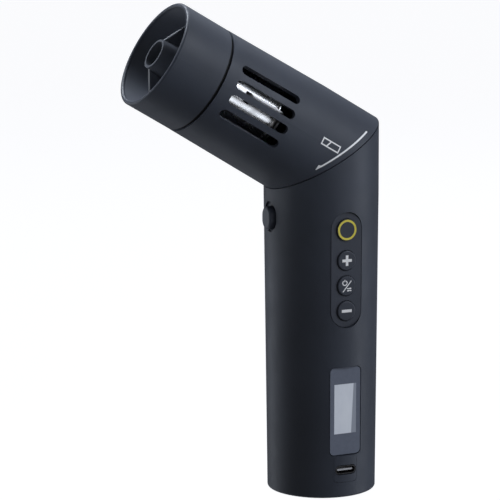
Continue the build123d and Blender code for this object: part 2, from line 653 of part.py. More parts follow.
with BuildPart() as impeller:
    for number in range(BLADES):
        blade_angle = number * 360 / BLADES
        with BuildSketch(radial(head_frame, blade_angle, BLADE_ROOT, BLADE_MIDDLE)) as root:
            Rectangle(BLADE_CHORD, BLADE_THICKNESS, rotation=32)
        with BuildSketch(radial(head_frame, blade_angle, BLADE_TIP, BLADE_MIDDLE)) as tip:
            Rectangle(BLADE_CHORD, BLADE_THICKNESS * 0.7, rotation=58)
        loft([root.sketch, tip.sketch])
    ring(head_frame, IMPELLER_RADIUS, 0, IMPELLER_REAR, IMPELLER_FRONT, Mode.INTERSECT)
    impeller_hub = [
        (0, IMPELLER_REAR),
        (HUB_REAR_RADIUS, IMPELLER_REAR),
        (HUB_FRONT_RADIUS, IMPELLER_FRONT),
        (0, IMPELLER_FRONT),
    ]
    turn(head_frame, impeller_hub)
    ring(head_frame, SHAFT_RADIUS, 0, IMPELLER_REAR, IMPELLER_FRONT, Mode.SUBTRACT)
save(impeller, "impeller")

NOSE_LENGTH, NOSE_RADIUS, NOSE_TIP = 4.6, 4.3, 0.9
SHAFT_REAR = IMPELLER_REAR - 2.2
with BuildPart() as impeller_nut:
    with BuildSketch(half_plane(head_frame)) as nose:
        with BuildLine():
            Polyline(
                (NOSE_TIP, IMPELLER_REAR - NOSE_LENGTH),
                (0, IMPELLER_REAR - NOSE_LENGTH),
                (0, SHAFT_REAR),
                (SHAFT_RADIUS, SHAFT_REAR),
                (SHAFT_RADIUS, IMPELLER_REAR),
                (NOSE_RADIUS, IMPELLER_REAR),
            )
            bulge = (NOSE_RADIUS * 0.78, IMPELLER_REAR - NOSE_LENGTH * 0.62)
            ThreePointArc((NOSE_RADIUS, IMPELLER_REAR), bulge, (NOSE_TIP, IMPELLER_REAR - NOSE_LENGTH))
        make_face()
    revolve(nose.sketch, axis=Axis(elbow, head_axis))
save(impeller_nut, "impeller_nut")

with BuildPart() as motor_shaft:
    ring(head_frame, SHAFT_RADIUS, 0, SHAFT_REAR, MOTOR_FRONT - 0.4)
save(motor_shaft, "motor_shaft")

CORE_REAR, CORE_FRONT = 43.9, 50.9
MAGNET_RADIUS, TOOTH_TIP, CORE_YOKE, CORE_RADIUS = 4.0, 4.3, 6.5, 7.9
TOOTH_WIDTH, COIL_WIDTH = 1.5, 3.1

with BuildPart() as rotor_magnet:
    ring(head_frame, MAGNET_RADIUS, SHAFT_RADIUS, CORE_REAR, CORE_FRONT)
save(rotor_magnet, "rotor_magnet")

# ---------------------------------------------------------------- motor and guide vanes
BULKHEAD = 2.5
VENT_CIRCLE, VENT_RADIUS, VENTS = 5.7, 1.1, 6
FRONT_BULKHEAD = 51.9
VANE_MIDDLE, VANE_CHORD, VANE_THICKNESS, VANE_PITCH = 48.0, 11.0, 0.8, 8


def bearing_seat(low, high):
    """The bearing's bore and the ring of cooling vents in a motor bulkhead."""
    ring(head_frame, BEARING_RADIUS, 0, low, high, Mode.SUBTRACT)
    with BuildSketch(head_frame.offset(low)) as vents:
        with PolarLocations(VENT_CIRCLE, VENTS, start_angle=30):
            Circle(VENT_RADIUS)
    extrude(vents.sketch, amount=high - low, mode=Mode.SUBTRACT)


with BuildPart() as motor_frame:
    for number in range(STATOR_VANES):
        vane_angle = (number + 0.5) * 360 / STATOR_VANES
        vane_plane = radial(head_frame, vane_angle, MOTOR_RADIUS - 0.5, VANE_MIDDLE)
        with BuildSketch(vane_plane) as vane:
            Rectangle(VANE_CHORD, VANE_THICKNESS, rotation=VANE_PITCH)
        extrude(vane.sketch, amount=DUCT_INNER)
    ring(head_frame, DUCT_INNER - 0.02, MOTOR_RADIUS - 0.4, MOTOR_REAR, MOTOR_FRONT, Mode.INTERSECT)
    ring(head_frame, MOTOR_RADIUS, CORE_RADIUS, MOTOR_REAR, MOTOR_FRONT)
    ring(head_frame, CORE_RADIUS, 0, MOTOR_REAR, MOTOR_REAR + BULKHEAD)
    bearing_seat(MOTOR_REAR, MOTOR_REAR + BULKHEAD)
    lead_window(5, 14)
save(motor_frame, "motor_frame")

with BuildPart() as motor_cap:
    ring(head_frame, CORE_RADIUS - 0.02, 0, FRONT_BULKHEAD, MOTOR_FRONT)
    bearing_seat(FRONT_BULKHEAD, MOTOR_FRONT)
save(motor_cap, "motor_cap")

with BuildPart() as motor_bearings:
    ring(head_frame, BEARING_RADIUS, SHAFT_RADIUS + 0.02, MOTOR_REAR + 0.3, MOTOR_REAR + 2.4)
    ring(head_frame, BEARING_RADIUS, SHAFT_RADIUS + 0.02, FRONT_BULKHEAD + 0.1, FRONT_BULKHEAD + 2.2)
save(motor_bearings, "motor_bearings")


def teeth(width, inner, outer, low, high, mode=Mode.ADD):
    """Blocks reaching inwards from the motor's yoke, one for each tooth."""
    for number in range(TEETH):
        tooth_plane = radial(head_frame, number * 360 / TEETH, inner, (low + high) / 2)
        with BuildSketch(tooth_plane) as tooth:
            Rectangle(high - low, width)
        extrude(tooth.sketch, amount=outer - inner, mode=mode)


with BuildPart() as motor_core:
    teeth(TOOTH_WIDTH, TOOTH_TIP + 0.1, CORE_YOKE + 0.4, CORE_REAR, CORE_FRONT)
    ring(head_frame, CORE_RADIUS, CORE_YOKE, CORE_REAR, CORE_FRONT)
save(motor_core, "motor_core")

with BuildPart() as motor_coils:
    teeth(COIL_WIDTH, TOOTH_TIP + 0.9, CORE_YOKE - 0.25, CORE_REAR - 0.7, CORE_FRONT + 0.7)
    teeth(TOOTH_WIDTH, TOOTH_TIP + 0.5, CORE_YOKE, CORE_REAR, CORE_FRONT, Mode.SUBTRACT)
save(motor_coils, "motor_coils")

# ---------------------------------------------------------------- fan mounting and driver
PAD_PLACE, PAD_LENGTH, PAD_WIDTH = 40.0, 5.0, 7.0
PAD_OUTER = head_radius(PAD_PLACE + PAD_LENGTH / 2) - WALL - 0.02
with BuildPart() as rear_damper:
    # Two pads, over and under the duct.
    for pad_angle in (90, 270):
        with BuildSketch(radial(head_frame, pad_angle, DUCT_OUTER - 2, PAD_PLACE)) as pad:
            Rectangle(PAD_LENGTH, PAD_WIDTH)
        extrude(pad.sketch, amount=10)
    ring(head_frame, PAD_OUTER, DUCT_OUTER, PAD_PLACE - PAD_LENGTH, PAD_PLACE + PAD_LENGTH, Mode.INTERSECT)
save(rear_damper, "rear_damper")

FRONT_DAMPER_REAR, FRONT_DAMPER_END = 57.0, 60.5
with BuildPart() as front_damper:
    ring(head_frame, SPIGOT_BORE, DUCT_OUTER, FRONT_DAMPER_REAR, FRONT_DAMPER_END)
save(front_damper, "front_damper")

DRIVER_SHIFT = -9.0  # below the head's axis
with BuildPart() as driver_board:
    driver_plane = Plane(
        origin=elbow + head_axis * 21 + head_frame.y_dir * DRIVER_SHIFT,
        x_dir=panel_side,
        z_dir=head_frame.y_dir,
    )
    block(driver_plane, 22, 17, -1.2, 0)
save(driver_board, "driver_board")

with BuildPart() as driver_parts:
    # Six power switches in two rows, a capacitor and a connector block.
    with BuildSketch(driver_plane) as switches:
        with GridLocations(5.5, 5.5, 3, 2):
            Rectangle(4.4, 4.4)
    extrude(switches.sketch, amount=1.2)
    with BuildSketch(driver_plane.offset(-1.2)) as capacitor:
        with Locations((5, 0)):
            Circle(3.0)
    extrude(capacitor.sketch, amount=-4.5)
save(driver_parts, "driver_parts")

with BuildPart() as driver_bracket:
    # Two cheeks from the head's wall that grip the board's long edges.
    for side in (-1, 1):
        block(driver_plane, 2.4, 15, -8.5, 1.2, centre=(side * 11.6, 0))
    ring(head_frame, ELBOW_RADIUS - WALL - 0.3, 0, 5, 40, Mode.INTERSECT)
    block(driver_plane, 22, 20, -1.2, 0, Mode.SUBTRACT)
save(driver_bracket, "driver_bracket")

with BuildPart() as motor_leads:
    board_top = head_frame.y_dir * (DRIVER_SHIFT + 0.65)
    for lead in range(LEADS):
        across = panel_side * (LEAD_ASIDE - LEAD_PITCH * lead)
        beside = panel_side * LEAD_DISTANCE + head_frame.y_dir * (LEAD_FIRST + LEAD_PITCH * lead)
        lead_route = [
            elbow + head_axis * LEAD_START + board_top + across,
            elbow + head_axis * LEAD_RISE + board_top + across,
            elbow + head_axis * LEAD_TURN + beside,
            elbow + head_axis * LEAD_ENTRY + beside,
            elbow + head_axis * LEAD_ENTRY + beside - panel_side * LEAD_REACH,
        ]
        cable(lead_route, LEAD_BEND, LEAD_RADIUS)
save(motor_leads, "motor_leads")

with BuildPart() as handle_cable:
    handle_route = [
        Vector(6, BOARD_BACK, 96),
        Vector(6, -6, 96),
        elbow - mitre_axis * 27,
        elbow - mitre_axis * 11.3,
    ]
    cable(handle_route, 3.0, 1.6)
save(handle_cable, "handle_cable")

with BuildPart() as head_cable:
    head_route = [
        elbow - mitre_axis * 11.0,
        elbow + mitre_axis * 9,
        elbow + head_axis * 19 + head_frame.y_dir * (DRIVER_SHIFT + 7),
        elbow + head_axis * 19 + head_frame.y_dir * (DRIVER_SHIFT + 1.2),
    ]
    cable(head_route, 2.4, 1.6)
save(head_cable, "head_cable")

# ---------------------------------------------------------------- nozzle
FLANGE_RADIUS = 21.2
SPIGOT_REAR = 54.5
SEAL_CENTRE, SEAL_PLACE, SEAL_WIRE = 18.7, 65.3, 0.6

with BuildPart() as nozzle_spigot:
    spigot_outline = [
        (SPIGOT_BORE, SPIGOT_REAR),
        (HEAD_SHELL_RADIUS - WALL - 0.05, SPIGOT_REAR),
        (HEAD_SHELL_RADIUS - WALL - 0.05, HEAD_SHELL_END),
        (FLANGE_RADIUS, HEAD_SHELL_END),
        (FLANGE_RADIUS, COLLAR_REAR - 0.1),
        (SPIGOT_RADIUS, COLLAR_REAR - 0.1),
        (SPIGOT_RADIUS, SPIGOT_END),
        (SPIGOT_BORE, SPIGOT_END),
    ]
    turn(head_frame, spigot_outline)
    ring(head_frame, SPIGOT_RADIUS + 1, 18.1, SEAL_PLACE - 0.7, SEAL_PLACE + 0.7, Mode.SUBTRACT)
save(nozzle_spigot, "nozzle_spigot")

with BuildPart() as nozzle_seal:
    with BuildSketch(half_plane(head_frame)) as seal_section:
        with Locations((SEAL_CENTRE, SEAL_PLACE)):
            Circle(SEAL_WIRE)
    revolve(seal_section.sketch, axis=Axis(elbow, head_axis))
save(nozzle_seal, "nozzle_seal")

SOCKET_BORE, SOCKET_FLOOR = 19.38, 72.0
LIP_START = 81.8
with BuildPart() as nozzle_shroud:
    with BuildSketch(half_plane(head_frame)) as shroud_section:
        with BuildLine():
            Polyline(
                (FUNNEL_MOUTH, LIP_START),
                (THROAT_RADIUS, THROAT_END),
                (THROAT_RADIUS, THROAT_START),
                (THROAT_RADIUS + 1.5, THROAT_START),
                (THROAT_RADIUS + 1.5, THROAT_END + 0.6),
                (THROAT_RADIUS + 4.4, SOCKET_FLOOR),
                (SOCKET_BORE, SOCKET_FLOOR),
                (SOCKET_BORE, COLLAR_REAR),
                (COLLAR_REAR_RADIUS, COLLAR_REAR),
                (COLLAR_LIP_RADIUS, LIP_START),
            )
            lip_middle = ((FUNNEL_MOUTH + COLLAR_LIP_RADIUS) / 2, HEAD_LENGTH)
            ThreePointArc((COLLAR_LIP_RADIUS, LIP_START), lip_middle, (FUNNEL_MOUTH, LIP_START))
        make_face()
    revolve(shroud_section.sketch, axis=Axis(elbow, head_axis))
save(nozzle_shroud, "nozzle_shroud")

WEB_TOP, WEB_OUTER_TOP = 81.6, 75.2
FUNNEL_SLOPE = (FUNNEL_MOUTH - THROAT_RADIUS) / (LIP_START - THROAT_END)
JET_BORE_END, JET_ROOT_BORE = 76.5, 7.4

with BuildPart() as jet_core:
    for web_angle in WEB_ANGLES:
        with BuildSketch(radial(head_frame, web_angle, 4, 73)) as web:
            Rectangle(20, WEB_THICKNESS)
        extrude(web.sketch, amount=18)
    web_outer = THROAT_RADIUS + FUNNEL_SLOPE * (WEB_OUTER_TOP - THROAT_END)
    web_limits = [
        (0, JET_ROOT),
        (THROAT_RADIUS, JET_ROOT),
        (THROAT_RADIUS, THROAT_END),
        (web_outer, WEB_OUTER_TOP),
        (JET_MOUTH, WEB_TOP),
        (0, WEB_TOP),
    ]
    turn(head_frame, web_limits, Mode.INTERSECT)
    jet_outline = [
        (0, JET_ROOT),
        (JET_ROOT_RADIUS, JET_ROOT),
        (JET_MOUTH, JET_TIP),
        (0, JET_TIP),
    ]
    turn(head_frame, jet_outline)
    jet_bore = [
        (0, JET_ROOT),
        (JET_ROOT_BORE, JET_ROOT),
        (JET_BORE, JET_BORE_END),
        (JET_BORE, JET_TIP),
        (0, JET_TIP),
    ]
    turn(head_frame, jet_bore, Mode.SUBTRACT)
save(jet_core, "jet_core")
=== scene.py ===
"""Looks of the cordless hand-held jet blower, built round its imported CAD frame.

Metres, in the CAD frame: +Z runs up the handle, the key panel faces -Y and the head
leans towards -X. Pieces are placed from the frame's own boxes and joints.
"""

import json
import math

import bmesh
import bpy
from mathutils import Matrix, Vector
from mathutils.bvhtree import BVHTree


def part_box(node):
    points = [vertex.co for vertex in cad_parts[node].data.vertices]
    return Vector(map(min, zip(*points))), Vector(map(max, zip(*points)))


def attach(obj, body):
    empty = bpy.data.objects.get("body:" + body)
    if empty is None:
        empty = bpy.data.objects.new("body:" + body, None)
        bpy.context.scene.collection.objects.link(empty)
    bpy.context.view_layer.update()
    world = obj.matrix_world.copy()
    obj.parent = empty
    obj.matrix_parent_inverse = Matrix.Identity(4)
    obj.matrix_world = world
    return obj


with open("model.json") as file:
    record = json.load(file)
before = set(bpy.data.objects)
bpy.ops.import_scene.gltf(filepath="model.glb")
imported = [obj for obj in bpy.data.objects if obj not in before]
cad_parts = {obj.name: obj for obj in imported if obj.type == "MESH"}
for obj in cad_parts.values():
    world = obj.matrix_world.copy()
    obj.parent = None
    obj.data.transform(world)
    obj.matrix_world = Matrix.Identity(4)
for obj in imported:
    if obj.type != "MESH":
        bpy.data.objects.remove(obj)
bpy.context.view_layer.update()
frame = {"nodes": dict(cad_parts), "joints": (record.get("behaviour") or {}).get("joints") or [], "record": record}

MM = 0.001
joints = {joint["name"]: joint for joint in frame["joints"]}
scene = bpy.context.scene

# ---------------------------------------------------------------- directions taken from the joints
elbow = Vector(joints["head_swivel"]["pos_m"])
head_axis = Vector(joints["impeller_spin"]["axis"]).normalized()
mitre_axis = -Vector(joints["head_swivel"]["axis"]).normalized()
panel_side = Vector((0, -1, 0))
head_top = head_axis.cross(panel_side).normalized()
if head_top.z < 0:
    head_top = -head_top
key_push = Vector(joints["plus_press"]["axis"]).normalized()

# ---------------------------------------------------------------- camera
CAMERA_PLACE = (-0.37846, -0.74174, 0.22847)
CAMERA_RIGHT = Vector((0.90544, -0.42445, -0.00516))
CAMERA_BACK = Vector((-0.41852, -0.89469, 0.15610))
LENS_MM, SENSOR_MM = 151.1, 36.0

camera_data = bpy.data.cameras.new("camera")
camera_data.lens = LENS_MM
camera_data.sensor_width = SENSOR_MM
camera_data.clip_end = 50
camera = bpy.data.objects.new("camera", camera_data)
view_back = CAMERA_BACK.normalized()
view_right = (CAMERA_RIGHT - view_back * CAMERA_RIGHT.dot(view_back)).normalized()
turned = Matrix((view_right, view_back.cross(view_right), view_back)).transposed().to_4x4()
camera.matrix_world = Matrix.Translation(CAMERA_PLACE) @ turned
scene.collection.objects.link(camera)
scene.camera = camera
scene.view_settings.view_transform = "Standard"


# ---------------------------------------------------------------- material helpers
def new_material(name, color, roughness, metallic=0.0, ior=1.5):
    """A node material and its shader, with uniform values on the shader's sockets."""
    material = bpy.data.materials.new(name)
    material.use_nodes = True
    shader = material.node_tree.nodes["Principled BSDF"]
    shader.inputs["Base Color"].default_value = (*color, 1)
    shader.inputs["Roughness"].default_value = roughness
    shader.inputs["Metallic"].default_value = metallic
    shader.inputs["IOR"].default_value = ior
    return material, shader


def add(material, kind, **values):
    """Add a node and set its attributes and unlinked sockets."""
    node = material.node_tree.nodes.new(kind)
    for key, value in values.items():
        if hasattr(node, key):
            setattr(node, key, value)
        else:
            node.inputs[key.replace("_", " ")].default_value = value
    return node


def link(material, start, end):
    """Join an output socket to an input socket."""
    material.node_tree.links.new(start, end)


def noise(material, scale, detail=2.0, stretch=None):
    """A noise texture over object coordinates, stretched along the axes if asked."""
    place = add(material, "ShaderNodeTexCoord").outputs["Object"]
    if stretch:
        mapping = add(material, "ShaderNodeMapping")
        mapping.inputs["Scale"].default_value = stretch
        link(material, place, mapping.inputs["Vector"])
        place = mapping.outputs["Vector"]
    texture = add(material, "ShaderNodeTexNoise", Scale=scale, Detail=detail)
    link(material, place, texture.inputs["Vector"])
    return texture.outputs["Fac"]


def ramp(material, source, low, high, from_low=0.3, from_high=0.7):
    """Map a texture's middle range to a range of numbers."""
    node = add(material, "ShaderNodeMapRange")
    node.inputs["From Min"].default_value = from_low
    node.inputs["From Max"].default_value = from_high
    node.inputs["To Min"].default_value = low
    node.inputs["To Max"].default_value = high
    link(material, source, node.inputs["Value"])
    return node.outputs["Result"]


def tint(material, source, dark, light):
    """Mix two colours by a texture's value."""
    node = add(material, "ShaderNodeMix", data_type="RGBA")
    node.inputs["A"].default_value = (*dark, 1)
    node.inputs["B"].default_value = (*light, 1)
    link(material, ramp(material, source, 0, 1), node.inputs["Factor"])
    return node.outputs["Result"]


def bump(material, shader, heights, distance):
    """Raise the surface by a texture, by a distance in metres."""
    node = add(material, "ShaderNodeBump")
    node.inputs["Distance"].default_value = distance
    node.inputs["Strength"].default_value = 1.0
    link(material, heights, node.inputs["Height"])
    link(material, node.outputs["Normal"], shader.inputs["Normal"])


def moulded(name, color, roughness, grain=0.02 * MM, spread=0.12, ior=1.5):
    """Moulded plastic: a fine spark-eroded grain, and a slow drift in colour and gloss."""
    material, shader = new_material(name, color, roughness, ior=ior)
    drift = noise(material, 38, 3)
    dark = tuple(value * (1 - spread) for value in color)
    light = tuple(value * (1 + spread) for value in color)
    link(material, tint(material, drift, dark, light), shader.inputs["Base Color"])
    patches = ramp(material, noise(material, 90, 4), roughness - 0.05, roughness + 0.05)
    link(material, patches, shader.inputs["Roughness"])
    bump(material, shader, noise(material, 3800, 2), grain)
    return material


def metal(name, color, roughness, scale=900, grain=0.004 * MM):
    """Worked metal: a fine grain in colour, gloss and height."""
    material, shader = new_material(name, color, roughness, metallic=1.0)
    grains = noise(material, scale, 3)
    dark = tuple(value * 0.86 for value in color)
    link(material, tint(material, grains, dark, color), shader.inputs["Base Color"])
    link(material, ramp(material, grains, roughness * 0.8, roughness * 1.3), shader.inputs["Roughness"])
    bump(material, shader, grains, grain)
    return material


# ---------------------------------------------------------------- materials by slot
BODY_COLOR = (0.043, 0.0505, 0.07)

materials = {
    "case": moulded("case_plastic", BODY_COLOR, 0.5, ior=1.4),
    "panel": moulded("panel_plastic", (0.042, 0.048, 0.066), 0.5, ior=1.4),
    "keys": moulded("key_plastic", (0.039, 0.045, 0.062), 0.45, ior=1.4),
    "trigger": moulded("trigger_plastic", (0.043, 0.05, 0.072), 0.45, ior=1.4),
    "black_plastic": moulded("black_plastic", (0.008, 0.008, 0.009), 0.7, ior=1.35),
    "motor_plastic": moulded("motor_plastic", (0.02, 0.02, 0.022), 0.5),
    "chips": moulded("chip_plastic", (0.014, 0.014, 0.015), 0.45),
    "switches": moulded("switch_plastic", (0.03, 0.03, 0.032), 0.4),
    "damper_rubber": moulded("damper_rubber", (0.014, 0.014, 0.014), 0.8),
    "cable_sheath": moulded("cable_sheath", (0.02, 0.02, 0.021), 0.55),
    "lead_sheath": metal("lead_sheath", (0.92, 0.92, 0.94), 0.35),
    "usb_tongue": moulded("usb_tongue", (0.5, 0.5, 0.52), 0.45),
    "circuit_board": moulded("solder_mask", (0.012, 0.09, 0.035), 0.3),
    "cell_wrap": moulded("cell_wrap", (0.05, 0.28, 0.24), 0.3),
    "yellow": moulded("yellow_ring", (0.78, 0.66, 0.08), 0.35, spread=0.05),
    "usb_steel": metal("usb_steel", (0.16, 0.16, 0.17), 0.3),
    "nickel": metal("nickel", (0.7, 0.67, 0.6), 0.3),
    "screws": metal("screws", (0.12, 0.12, 0.13), 0.35),
    "spring_steel": metal("spring_steel", (0.55, 0.55, 0.57), 0.25),
    "duct_metal": metal("duct_metal", (0.9, 0.905, 0.92), 0.26, scale=140, grain=0.0001 * MM),
    "impeller_metal": metal("impeller_metal", (0.7, 0.71, 0.73), 0.3),
    "magnet": metal("magnet", (0.45, 0.45, 0.47), 0.3),
    "laminations": metal("laminations", (0.3, 0.31, 0.33), 0.4),
    "copper": metal("copper", (0.7, 0.33, 0.14), 0.3),
    "bearing_steel": metal("bearing_steel", (0.6, 0.61, 0.63), 0.2),
}

# ---------------------------------------------------------------- lens and display
WINDOW_WIDTH, WINDOW_LENGTH = 9.7 * MM, 20.1 * MM
WINDOW_RISE = 0.9 * MM  # of the window's middle over the lens's
WINDOW_BLUR = 0.06 * MM
# Painted shade: past a slightly slanted line near the window's right side, the display is painted a shaded copy of
# its colour.
PAINTED_SHADE_START, PAINTED_SHADE_SLANT, PAINTED_SHADE_BLUR = 3.2 * MM, 0.05, 0.15 * MM
LENS_COLOR = (0.16, 0.18, 0.235)
LCD_DARK, LCD_LIGHT = (0.8, 0.84, 0.93), (0.87, 0.91, 0.99)
# Painted shade: a shaded copy of the display's colour, for its strip along the window's right side.
LCD_PAINTED_SHADE = (0.36, 0.39, 0.46)
lens_low, lens_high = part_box("display_lens")
window_middle = (lens_low.z + lens_high.z) / 2 + WINDOW_RISE


def calculate(material, operation, first, second):
    """A math node between two sockets or numbers."""
    node = add(material, "ShaderNodeMath", operation=operation)
    for socket, value in zip(node.inputs, (first, second)):
        if isinstance(value, (int, float)):
            socket.default_value = value
        else:
            link(material, value, socket)
    return node.outputs["Value"]


def edge(material, distance, blur):
    """1 where a distance is above 0, with a soft edge."""
    return ramp(material, distance, 0, 1, -blur, blur)


def lens_material():
    """Smoked lens with the unlit display showing through its clear window, and painted shade on the display along
    the window's right side.
    """
    material, shader = new_material("lens", LENS_COLOR, 0.22)
    place = add(material, "ShaderNodeTexCoord").outputs["Object"]
    split = add(material, "ShaderNodeSeparateXYZ")
    link(material, place, split.inputs["Vector"])
    across, height = split.outputs["X"], split.outputs["Z"]
    aside = calculate(material, "ABSOLUTE", across, 0.0)
    from_side = calculate(material, "SUBTRACT", WINDOW_WIDTH / 2, aside)
    rise = calculate(material, "SUBTRACT", height, window_middle)
    away = calculate(material, "ABSOLUTE", rise, 0.0)
    from_end = calculate(material, "SUBTRACT", WINDOW_LENGTH / 2, away)
    inside = edge(material, from_side, WINDOW_BLUR), edge(material, from_end, WINDOW_BLUR)
    window = calculate(material, "MINIMUM", *inside)
    # Painted shade mask: 0 past a slanted line near the window's right side, where the display is painted shaded.
    slant = calculate(material, "MULTIPLY", rise, PAINTED_SHADE_SLANT)
    painted_shade_line = calculate(material, "ADD", slant, PAINTED_SHADE_START)
    unshaded_mask = edge(material, calculate(material, "SUBTRACT", painted_shade_line, across), PAINTED_SHADE_BLUR)
    cells = noise(material, 260, 2, (1, 1, 0.35))
    lit = tint(material, cells, LCD_DARK, LCD_LIGHT)
    display = add(material, "ShaderNodeMix", data_type="RGBA")
    display.inputs["A"].default_value = (*LCD_PAINTED_SHADE, 1)
    link(material, unshaded_mask, display.inputs["Factor"])
    link(material, lit, display.inputs["B"])
    border = noise(material, 700, 2)
    smoked = tint(material, border, tuple(0.93 * value for value in LENS_COLOR), LENS_COLOR)
    face = add(material, "ShaderNodeMix", data_type="RGBA")
    link(material, window, face.inputs["Factor"])
    link(material, smoked, face.inputs["A"])
    link(material, display.outputs["Result"], face.inputs["B"])
    link(material, face.outputs["Result"], shader.inputs["Base Color"])
    link(material, ramp(material, border, 0.2, 0.27), shader.inputs["Roughness"])
    return material


materials["lens"] = lens_material()
materials["lcd"] = moulded("lcd", LCD_LIGHT, 0.2)

slots = {part["node"]: part["material_slot"] for part in frame["record"]["subparts"]}
for node_name, node in frame["nodes"].items():
    node.data.materials.clear()
    node.data.materials.append(materials[slots[node_name]])
# The jet core gets a lighter plastic than the rest of its slot: painted light, so that its web faces look lit.
jet_plastic_painted_light = moulded("jet_plastic_painted_light", (0.075, 0.083, 0.1), 0.4)
frame["nodes"]["jet_core"].data.materials[0] = jet_plastic_painted_light

# ---------------------------------------------------------------- printed marks
PRINT_OVER, PRINT_UNDER = 0.008 * MM, 0.03 * MM
PRINT_STEP = 0.4  # millimetres between a stroke's points at most
white_print = moulded("white_print", (0.92, 0.92, 0.93), 0.5, grain=0.004 * MM, spread=0.04)


def finer(stroke):
    """The stroke with points close enough to follow a round surface."""
    points = [stroke[0]]
    for start, end in zip(stroke, stroke[1:]):
        parts = math.ceil(math.dist(start[:2], end[:2]) / PRINT_STEP)
        for part in range(1, parts):
            points.append(tuple(a + (b - a) * part / parts for a, b in zip(start, end)))
        points.append(end)
    return points


def mark(name, strokes, place, body):
    """Printed strokes as one thin solid. Each is a list of (x, y, half width) in
    millimetres, and place puts (x, y, height) on the surface. A closed stroke
    repeats its first point."""
    mesh = bmesh.new()
    for stroke in strokes:
        closed = stroke[0] == stroke[-1]
        stroke = finer(stroke)
        points = stroke[:-1] if closed else stroke
        count = len(points)
        rings = []
        for index, (x, y, half) in enumerate(points):
            here = Vector((x, y))
            before = Vector(points[index - 1][:2]) if closed or index else here
            after = Vector(points[(index + 1) % count][:2]) if closed or index + 1 < count else here
            sides = [v.normalized() for v in (here - before, after - here) if v.length > 0]
            run = sum(sides, Vector((0, 0))).normalized()
            mitre = 1 / max(0.5, run.dot(sides[0]))
            across = Vector((-run.y, run.x)) * half * mitre
            corners = [(here + across, PRINT_OVER), (here - across, PRINT_OVER)]
            corners += [(here - across, -PRINT_UNDER), (here + across, -PRINT_UNDER)]
            rings.append([mesh.verts.new(place(c.x * MM, c.y * MM, lift)) for c, lift in corners])
        pairs = zip(rings, rings[1:] + rings[:1]) if closed else zip(rings, rings[1:])
        for one, two in pairs:
            for side in range(4):
                mesh.faces.new((one[side], one[(side + 1) % 4], two[(side + 1) % 4], two[side]))
        if not closed:
            mesh.faces.new(rings[0][::-1])
            mesh.faces.new(rings[-1])
    bmesh.ops.recalc_face_normals(mesh, faces=mesh.faces)
    data = bpy.data.meshes.new(name)
    mesh.to_mesh(data)
    mesh.free()
    piece = bpy.data.objects.new(name, data)
    scene.collection.objects.link(piece)
    data.materials.append(white_print)
    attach(piece, body)


def line(start, end, half):
    """A straight stroke."""
    return [(*start, half), (*end, half)]


def arc(centre, radius, first, last, half, parts=24):
    """A round stroke between two angles in degrees."""
    turns = [math.radians(first + (last - first) * index / parts) for index in range(parts + 1)]
    return [(centre[0] + radius * math.cos(a), centre[1] + radius * math.sin(a), half) for a in turns]


HEAD_RADIUS = 23.0 * MM
# Of the angle between the head and the swivel's axis.
MITRE_COS, MITRE_SIN = head_axis.dot(mitre_axis), head_top.dot(mitre_axis)


def on_head(x, y, lift):
    """Place on the head tube: x along it from the elbow, y round it from the panel side."""
    angle = y / HEAD_RADIUS
    outward = panel_side * math.cos(angle) + head_top * math.sin(angle)
    return elbow + head_axis * x + outward * (HEAD_RADIUS + lift)


def beside_seam(x, y, lift):
    """Place on the head tube: x round it from the panel side, y from the swivel's plane."""
    along = (y - HEAD_RADIUS * math.sin(x / HEAD_RADIUS) * MITRE_SIN) / MITRE_COS
    return on_head(along, x, lift)


# The swivel's arrow, beside the joint, with a one-sided barb.
ARROW_START, ARROW_TIP, ARROW_LINE, BARB = 14.2, -10.9, 2.75, 2.7
ARROW_HALF = 0.36
arrow = line((ARROW_START, ARROW_LINE), (ARROW_TIP + BARB, ARROW_LINE), ARROW_HALF)
arrow += [(ARROW_TIP + 0.3, ARROW_LINE - 0.2, 0.06)]
barb = [(ARROW_TIP + BARB, ARROW_LINE + 0.55, 0.55), (ARROW_TIP + 0.3, ARROW_LINE - 0.1, 0.05)]
mark("swivel_arrow", [arrow, barb], beside_seam, "head")

# The locking pictogram: a box with a slanted divider.
BOX_NEAR, BOX_FAR, BOX_LOW, BOX_HIGH = 4.9, 13.0, -0.55, 2.0
BOX_LINE = 0.27  # half width
DIVIDER_FOOT, DIVIDER_HEAD = 10.6, 9.4
box_corners = [(BOX_NEAR, BOX_LOW), (BOX_FAR, BOX_LOW), (BOX_FAR, BOX_HIGH), (BOX_NEAR, BOX_HIGH)]
box_sides = [(*corner, BOX_LINE) for corner in box_corners]
divider = line((DIVIDER_FOOT, BOX_LOW), (DIVIDER_HEAD, BOX_HIGH), BOX_LINE)
mark("lock_pictogram", [box_sides + box_sides[:1], divider], on_head, "head")


def on_key(node):
    """Places on a key's face: x to the right and y up, from its middle."""
    mesh = frame["nodes"][node].data
    surface = BVHTree.FromPolygons([v.co for v in mesh.vertices], [p.vertices for p in mesh.polygons])
    low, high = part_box(node)
    middle = (low + high) / 2
    start = Vector((middle.x, low.y - 0.01, middle.z))
    face = surface.ray_cast(start, Vector((0, 1, 0)))[0]
    up = Vector((1, 0, 0)).cross(key_push)
    up = -up if up.z < 0 else up
    return lambda x, y, lift: face + Vector((1, 0, 0)) * x + up * y - key_push * lift


PLUS, MINUS, BAR = 2.1, 2.2, 0.56  # half lengths, and the bars' half width
plus_strokes = [
    line((-PLUS, 0), (PLUS, 0), BAR),
    line((0, BAR), (0, PLUS), BAR),
    line((0, -PLUS), (0, -BAR), BAR),
]
mark("plus_mark", plus_strokes, on_key("plus_button"), "plus_key")
mark("minus_mark", [line((-MINUS, 0), (MINUS, 0), BAR)], on_key("minus_button"), "minus_key")

